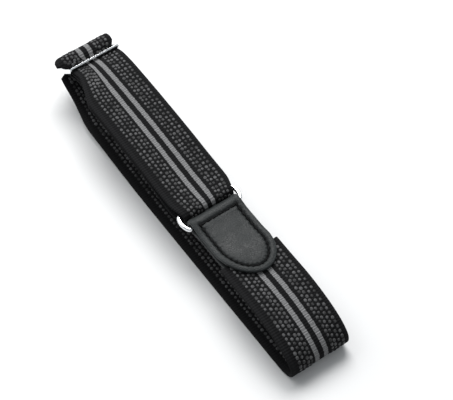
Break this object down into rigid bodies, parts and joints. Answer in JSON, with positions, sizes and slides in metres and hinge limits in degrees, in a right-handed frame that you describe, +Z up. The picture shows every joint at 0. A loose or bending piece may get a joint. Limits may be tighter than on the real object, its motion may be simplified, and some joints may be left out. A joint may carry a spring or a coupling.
{
  "type": "sleeve garter",
  "caption": "Flattened loop of woven elastic webbing with a slide adjuster, a wire ring and a folded leather tab, worn round the upper arm to hold up a shirt sleeve.",
  "frame": {"origin": "under the middle of the loop's footprint, on the surface that it lies on", "axes": "+X along the flattened loop, from the slide to the plain fold; +Y across the webbing; +Z up"},
  "size_m": [0.1568, 0.0264, 0.0219],
  "materials": {
    "webbing": "woven black elastic with small grey dots and two light grey stripes along its middle",
    "chrome": "bright plated steel",
    "leather": "fine-grained black leather, satin, with black stitching"
  },
  "bodies": {
    "root": {"elastic_band": "webbing", "slide_adjuster": "chrome", "wire_ring": "chrome", "leather_tab": "leather"}
  },
  "joints": []
}
